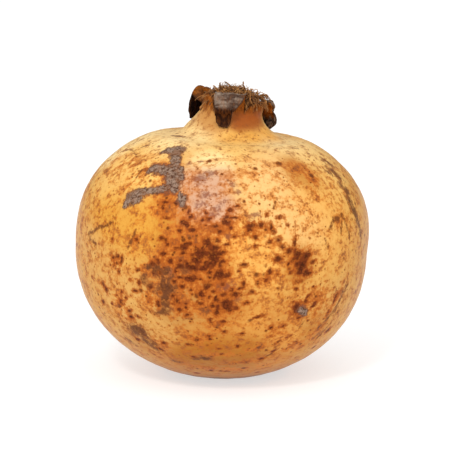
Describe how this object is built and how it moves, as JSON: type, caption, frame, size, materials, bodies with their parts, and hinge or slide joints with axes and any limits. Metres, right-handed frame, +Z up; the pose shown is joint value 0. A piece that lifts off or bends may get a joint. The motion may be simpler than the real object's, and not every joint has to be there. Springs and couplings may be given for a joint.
{
  "type": "pomegranate",
  "caption": "Whole weathered pomegranate with a short crown of dried calyx lobes around a tuft of stamens, standing on the flat spot at its stem end.",
  "frame": {"origin": "middle of the small flat spot at the stem end, on which the fruit stands", "axes": "+Z up to the crown, -Y the side that faces the viewer, +X to the viewer's right, the way the crown leans"},
  "size_m": [0.092, 0.0926, 0.0918],
  "materials": {
    "rind": "waxy satin rind, yellow to orange-tan, with brown russet, dark spots and grey corky scars; the lobes of the crown are dry, matt and dark brown",
    "stamens": "matt, dry brown plant fibre"
  },
  "bodies": {
    "root": {"fruit": "rind", "stamens": "stamens"}
  },
  "joints": []
}
